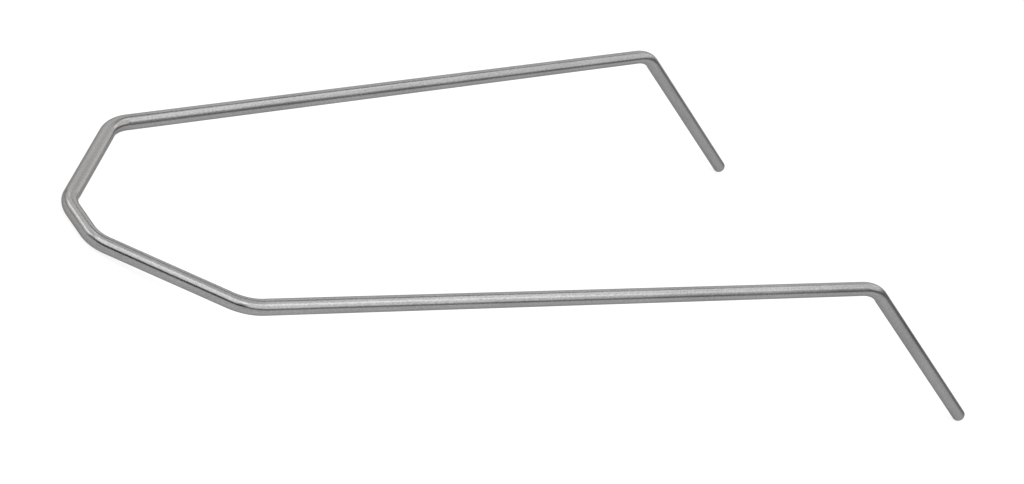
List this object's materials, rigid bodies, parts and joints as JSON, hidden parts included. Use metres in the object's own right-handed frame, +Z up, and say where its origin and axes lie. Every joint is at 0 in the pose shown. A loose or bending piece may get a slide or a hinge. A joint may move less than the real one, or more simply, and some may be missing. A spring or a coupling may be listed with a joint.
{
  "type": "cable needle",
  "caption": "Round steel wire bent in a splayed U with a narrow nose and turned-down round tips; holds stitches aside while a cable is knitted.",
  "frame": {"origin": "on the surface it stands on, under the middle of its bounding box", "axes": "+X from the closed nose to the open tips, +Y across the two prongs towards the left one, +Z up"},
  "size_m": [0.149, 0.0642, 0.0215],
  "materials": {
    "steel_wire": "satin drawn wire"
  },
  "bodies": {
    "root": {"nose": "steel_wire", "left_shoulder": "steel_wire", "left_prong": "steel_wire", "left_tip": "steel_wire", "right_shoulder": "steel_wire", "right_prong": "steel_wire", "right_tip": "steel_wire"}
  },
  "joints": []
}
